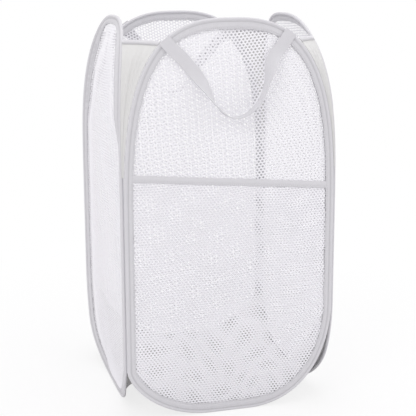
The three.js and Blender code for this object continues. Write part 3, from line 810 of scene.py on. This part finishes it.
# painted shade round the pocket tape's section: darker at its lower edges, in the dips of its
# stitches and in its hollow
face = [0.12, 0.08, 0.05, 0.2, 0.05, 0, 0, 0.03]
painted_groove_shades = face + [0] + face[::-1] + [0.1] * 5
laid = laid_out(lengths, places[0])
pocket_tape = strip("pocket_tape", places, laid, closed=True, painted_groove_shades=painted_groove_shades)
close_ends(pocket_tape)
stand(pocket_tape, panels["front"])
smooth(pocket_tape)
give(pocket_tape, tape_cloth)
at = np.arange(-half_width + 0.004, half_width - 0.004, stitch_step)
seam = low + pocket_stitch_rise + pocket_slope * at
rows = [np.column_stack([at, seam, np.full(len(at), layer_out + o)]) for o in (0.0009, -0.0009)]
tilt = math.atan(pocket_slope)
along = np.tile([math.cos(tilt), math.sin(tilt), 0], (2 * len(at), 1))
pocket_thread = stitches("pocket_stitches", np.vstack(rows), along)
stand(pocket_thread, panels["front"])
give(pocket_thread, thread)
for piece, slot in ((pocket, "mesh"), (pocket_tape, "tape"), (pocket_thread, "thread")):
    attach(piece, "front_panel")
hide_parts("pocket_mesh")
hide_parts("pocket_binding")

# Handles: one strap of 20 mm polyester webbing at the front and one at the back. Each end is sewn
# down over the shoulder of the hoop, and the strap hangs from there and turns on its edge.
webbing_width = 0.020
webbing_thickness = 0.0014
handle_reach = {-1: 0.616 * hoop_half_width, 1: 0.557 * hoop_half_width}
handle_seam = 0.594
handle_drop = 0.106
# where a strap starts to turn on its edge, and over how much, as shares of what hangs, at each end
handle_turns = ((0.12, 0.33), (-0.01, 0.27))
# the hanging strap's middle line: across, in halves of its span, and down, in drops
handle_path = [
    (-1, 0),
    (-0.8, 0.16),
    (-0.47, 0.5),
    (-0.24, 0.82),
    (0.02, 1),
    (0.3, 0.97),
    (0.56, 0.78),
    (0.7, 0.5),
    (0.83, 0.17),
    (1, 0),
]


def curved(points, count):
    """Evenly spaced places on a smooth line through the points."""
    points = np.array(points, float)
    knots = np.concatenate([[0], np.cumsum(np.linalg.norm(np.diff(points, axis=0), axis=1) ** 0.5)])
    ghost = np.vstack([2 * points[0] - points[1], points, 2 * points[-1] - points[-2]])
    first = knots[1] - knots[0]
    last = knots[-1] - knots[-2]
    spots = np.concatenate([[-first], knots, [knots[-1] + last]])
    fine = []
    for i in range(1, len(ghost) - 2):
        t0, t1, t2, t3 = spots[i - 1 : i + 3]
        p0, p1, p2, p3 = ghost[i - 1 : i + 3]
        for t in np.linspace(t1, t2, 40, endpoint=False):
            a1 = (t1 - t) / (t1 - t0) * p0 + (t - t0) / (t1 - t0) * p1
            a2 = (t2 - t) / (t2 - t1) * p1 + (t - t1) / (t2 - t1) * p2
            a3 = (t3 - t) / (t3 - t2) * p2 + (t - t2) / (t3 - t2) * p3
            b1 = (t2 - t) / (t2 - t0) * a1 + (t - t0) / (t2 - t0) * a2
            b2 = (t3 - t) / (t3 - t1) * a2 + (t - t1) / (t3 - t1) * a3
            fine.append((t2 - t) / (t2 - t1) * b1 + (t - t1) / (t2 - t1) * b2)
    fine = np.vstack([fine, points[-1:]])
    step = np.linalg.norm(np.diff(fine, axis=0), axis=1)
    reach = np.concatenate([[0], np.cumsum(step)])
    spaced = np.linspace(0, reach[-1], count)
    return np.stack([np.interp(spaced, reach, fine[:, i]) for i in range(fine.shape[1])], 1), spaced


def thicken(piece, thickness, even=False):
    """Gives a sheet its thickness, half on either side."""
    wall = piece.modifiers.new("thickness", "SOLIDIFY")
    wall.thickness = thickness
    wall.offset = 0
    wall.use_even_offset = even
    only(piece)
    bpy.ops.object.modifier_apply(modifier=wall.name)


def handle_seat(panel, side):
    """Where the middle of a strap's end crosses the wire, and where it meets the fold below."""
    flat, normal, _ = hoop_line(panel["tight"], 0.001)
    on_crown = flat[:, 1] > shoulder_start
    near = np.abs(flat[:, 0] - side * handle_reach[side]) + np.where(on_crown, 0, 9)
    spot = int(near.argmin())
    point, out = flat[spot], normal[spot]
    fold = point[0] - out[0] * (point[1] - handle_seam) / out[1]
    return point, out, fold


def hang_handle(name, panel):
    """A strap from one seam to the other, flat at its ends and on its edge where it hangs."""
    seats = {side: handle_seat(panel, side) for side in (-1, 1)}
    middle = (seats[-1][2] + seats[1][2]) / 2
    half = (seats[1][2] - seats[-1][2]) / 2
    tops = {side: point + out * (bead_radius + 0.0006) for side, (point, out, _) in seats.items()}
    loop = [(middle + a * half, handle_seam - d * handle_drop) for a, d in handle_path]
    path = [tops[-1], (tops[-1] + loop[0]) / 2, *loop, (tops[1] + loop[-1]) / 2, tops[1]]
    line, lengths = curved(path, 170)
    along = np.gradient(line, axis=0)
    along /= np.linalg.norm(along, axis=1)[:, None]
    sewn = [np.linalg.norm(tops[side] - loop[0 if side < 0 else -1]) for side in (-1, 1)]
    hanging = lengths[-1] - sum(sewn)
    share = (lengths - sewn[0]) / hanging
    (left, left_over), (right, right_over) = handle_turns
    turned = np.minimum((share - left) / left_over, (1 - share - right) / right_over)
    angle = eased(turned) * math.pi / 2
    across = np.linspace(-0.5, 0.5, 13)
    flatten = bead_radius + 0.0003 + webbing_thickness / 2
    square = np.stack([-along[:, 1], along[:, 0]], 1)
    rows = []
    for i, turn in enumerate(angle):
        c, s = math.cos(turn), math.sin(turn)
        row = []
        for a in across:
            bow = 0.0006 * (1 - (2 * a) ** 2)
            x, y = line[i] + square[i] * (a * webbing_width * c)
            row.append((x, y, flatten + webbing_width * (0.5 * s - a * s) + bow * c))
        rows.append(row)
    places = np.array(rows)
    laid = np.stack(np.broadcast_arrays(lengths[:, None], across[None, :] * webbing_width), axis=2)
    strap = strip(f"{name}_strap", places, laid)
    thicken(strap, webbing_thickness, even=True)
    stand(strap, panel)
    smooth(strap)
    return strap


webbing_colour = (0.67, 0.665, 0.69)
webbing = cloth_material(
    "handle_webbing", weave, webbing_colour, 0.0011, 0.0002, 0.75, 0.3, 0.07, uv="laid_flat"
)
for name in ("front", "back"):
    strap = hang_handle(name, panels[name])
    give(strap, webbing)
    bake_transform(strap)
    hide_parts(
        f"{name}_handle", f"{name}_handle_end_left", f"{name}_handle_end_right"
    )

# Corner gussets: a tapering web of plain woven cloth from each hoop's shoulder to the next, sewn to
# both bindings, creased where it narrows, with a folded tape along its upper edge.
gusset_top = 0.606
gusset_base = 0.400
gusset_bow = 0.1  # how far the web hangs inward, as a share of its width
gusset_crease = 0.006
gusset_thickness = 0.0006
hem_height = 0.006
web_away = bead_radius + 0.0009  # from the wire to the web, and to its hem
hem_away = bead_radius + 0.0012
web_rows, web_columns = 60, 41
corners = {
    "front_left": ("front", "left"),
    "front_right": ("right", "front"),
    "back_right": ("back", "right"),
    "back_left": ("left", "back"),
}


def edge_across(panel, away, side, height):
    """Where the line that runs away from the wire crosses each height, on one side."""
    flat, normal, _ = hoop_line(panel["tight"], 0.002)
    line = flat + normal * away
    part = line[(side * line[:, 0] > 0) & (line[:, 1] > 0.2)]
    part = part[np.argsort(part[:, 1])]
    return np.interp(height, part[:, 1], part[:, 0])


def corner_web(left_of, right_of, heights, away, crease, seed):
    """Rows across a corner, from the left side of one panel to the right side of the next."""
    ends = []
    for name, side in ((left_of, -1), (right_of, 1)):
        x = edge_across(panels[name], away, side, heights)
        flat = np.column_stack([x, heights, np.zeros(len(heights))])
        ends.append(stood_up(panels[name], flat))
    start, end = ends
    inward = -(start + end)
    inward[:, 2] = 0
    inward /= np.linalg.norm(inward, axis=1)[:, None]
    span = np.linalg.norm(end - start, axis=1)
    share = np.linspace(0, 1, web_columns)
    places = start[:, None] + (end - start)[:, None] * share[None, :, None]
    hollow = 4 * share * (1 - share)
    depth = gusset_bow * span[:, None] * hollow[None, :]
    chance = np.random.default_rng(seed)
    fold = np.zeros_like(depth)
    for count in (3, 4, 6):
        phase = chance.random() * 2 * math.pi
        drift = (heights[:, None] - heights[0]) * (chance.random() * 14 - 7)
        fold += np.sin(2 * math.pi * count * share[None, :] + phase + drift) / count
    room = np.clip(span / 0.05, 0, 1) * eased((gusset_top - hem_height - heights) / 0.03)
    depth = depth + crease * fold * hollow[None, :] * room[:, None]
    places = places + inward[:, None] * depth[:, :, None]
    return places, span, inward


cloth_colour = (0.69, 0.69, 0.68)
cloth = cloth_material(
    "gusset_cloth", weave, cloth_colour, 0.0007, 0.0001, 0.8, 0.2, 0.05, uv="laid_flat"
)
for seed, (name, (left_of, right_of)) in enumerate(corners.items()):
    heights = np.linspace(gusset_base, gusset_top - 0.0007, web_rows)
    places, span, _ = corner_web(left_of, right_of, heights, web_away, gusset_crease, 40 + seed)
    across = (np.linspace(0, 1, web_columns) - 0.5)[None, :] * span[:, None]
    laid = np.stack(np.broadcast_arrays(across, heights[:, None]), axis=2)
    web = strip(f"gusset_{name}_cloth", places, laid)
    thicken(web, gusset_thickness)
    smooth(web)
    give(web, cloth)
    hem_low = gusset_top - hem_height
    face = [
        (0.0011, hem_low),
        (0.0009, hem_low + 0.0015),
        (0.0013, hem_low + 0.0035),
        (0.0011, gusset_top - 0.0008),
        (0.0004, gusset_top),
    ]
    ring = face + [(-o, z) for o, z in face[::-1]] + [face[0]]
    rows = []
    for out, level in ring:
        row, wide, toward = corner_web(left_of, right_of, np.array([level]), hem_away, 0.0, 0)
        rows.append(row[0] + toward[0] * out)
    places = np.array(rows).transpose(1, 0, 2)
    # painted shade round the hem's section: darkest along its lower edges, where it meets the web
    painted_groove_shades = [0.3, 0.2, 0.02, 0, 0, 0, 0, 0.02, 0.2, 0.3, 0.3]
    laid = laid_out(np.linspace(0, wide[0], web_columns), places[0])
    hem = strip(f"gusset_{name}_hem", places, laid, closed=True, painted_groove_shades=painted_groove_shades)
    close_ends(hem)
    smooth(hem)
    give(hem, tape_cloth)
    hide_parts(f"gusset_{name}")
    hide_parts(f"gusset_hem_{name}")
    if name == "back_right":
        for piece in (web, hem):
            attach(piece, "right_panel")
            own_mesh(piece)
    else:
        for piece in (web, hem):
            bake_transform(piece)

# Corner seams: a close line of stitches that joins two bindings at each corner, from the lower bend
# up to the gusset. The panels fold about it.
seam_colour = (0.7, 0.7, 0.73)
seam_thread = cloth_material("seam_thread", yarn, seam_colour, 0.0007, 0.0003, 0.65, 0.3, 0.12)
for name in corners:
    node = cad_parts[f"corner_seam_{name}"]
    give(node, seam_thread)

# Bottom: one square of plain woven cloth, sewn to the foot of all four hoops inside their bindings.
# Its corners are drawn up, its middle lies almost on the floor, and the slack makes soft folds.
bottom_seam_rise = 0.005  # from the wire up to the seam
bottom_thickness = 0.0007
bottom_sag = 0.0045
bottom_steps = 110
bottom_crease = 0.0011
bottom_clearance = 0.0009  # from the floor to the middle of the cloth
bottom_corner = 0.0022  # from its drawn-up corner to the fold line
bottom_crowding = 0.47 * math.pi  # of the grid towards its edges, by a sine


def bottom_edge(name, shares):
    """The bottom's sewn edge along one panel, from its left corner, -1, to its right, 1."""
    panel = panels[name]
    flat, normal, lengths = hoop_line(panel["tight"], 0.001)
    sewn = (double_leg if name == "front" else single_leg) + 0.0008
    flat_places = np.zeros((len(shares), 3))
    for side in (-1, 1):
        top = tight_corner if side == panel["tight"] else loose_corner
        line, out = flat[::side], normal[::side]
        end = int(np.argmax(line[:, 1] >= top - 1e-5))
        at = np.abs(shares) * lengths[end]
        x, y = (np.interp(at, lengths[: end + 1], line[: end + 1, i]) for i in (0, 1))
        turn = [np.interp(at, lengths[: end + 1], out[: end + 1, i]) for i in (0, 1)]
        near = np.abs(shares) ** 16  # only close to the corner
        corner = side * (half_span - bottom_corner)
        x = (x - turn[0] * bottom_seam_rise) * (1 - near) + corner * near
        y = y - turn[1] * bottom_seam_rise
        deep = -sewn * (1 - near) - (plane_offset + bottom_corner) * near
        here = side * shares >= 0
        flat_places[here] = np.stack([x, y, deep], 1)[here]
    return stood_up(panel, flat_places)


def bottom_places(count):
    """A grid of places filled in between the four sewn edges, with its sag and its soft folds."""
    shares = np.sin(np.linspace(-1, 1, count) * bottom_crowding) / math.sin(bottom_crowding)
    shares = np.clip(shares, -0.9995, 0.9995)
    front, back = bottom_edge("front", shares), bottom_edge("back", -shares)
    left, right = bottom_edge("left", -shares), bottom_edge("right", shares)
    s, t = shares[:, None, None], shares[None, :, None]
    facing = front[:, None] * (1 - t) / 2 + back[:, None] * (1 + t) / 2
    sideways = left[None, :] * (1 - s) / 2 + right[None, :] * (1 + s) / 2
    from_faces, from_sides = 1 - t * t, 1 - s * s
    share = from_sides / (from_faces + from_sides)
    places = sideways * (1 - share) + facing * share
    inner = (from_faces * from_sides)[:, :, 0]
    places[:, :, 2] -= bottom_sag * inner
    x, y = places[:, :, 0] / half_span, places[:, :, 1] / half_span
    folds = np.zeros_like(x)
    chance = np.random.default_rng(5)
    for count in range(14):
        turn = chance.random() * math.pi
        pitch = 2 + 7 * chance.random()
        bend = np.sin(1.7 * (x * math.sin(turn) - y * math.cos(turn)) + 6 * chance.random())
        wave = pitch * (x * math.cos(turn) + y * math.sin(turn)) + 0.8 * bend
        folds += np.sin(wave + 6 * chance.random()) / pitch**0.7
    places[:, :, 2] += bottom_crease * folds * np.sqrt(np.clip(inner, 0, 1))
    places[:, :, 2] = np.maximum(places[:, :, 2], bottom_clearance)
    return places


places = bottom_places(bottom_steps)
step = np.linalg.norm(np.diff(places, axis=0, prepend=places[:1]), axis=2)
along = np.cumsum(step, axis=0)
step = np.linalg.norm(np.diff(places, axis=1, prepend=places[:, :1]), axis=2)
across = np.cumsum(step, axis=1)
bottom = strip("bottom_cloth", places, np.stack([along, across], 2))
thicken(bottom, bottom_thickness)
smooth(bottom)
# the bottom cloth's own grey with painted shade in it: darker than the tapes and gussets, for the
# shade it lies in inside the hamper
bottom_tone_with_painted_shade = (0.535, 0.53, 0.525)
bottom_cloth = cloth_material(
    "bottom_cloth", weave, bottom_tone_with_painted_shade, 0.0007, 0.0001, 0.8, 0.2, 0.05, uv="laid_flat"
)
give(bottom, bottom_cloth)
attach(bottom, "front_panel")
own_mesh(bottom)
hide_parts("bottom_panel")

bpy.context.scene.view_settings.view_transform = "Standard"
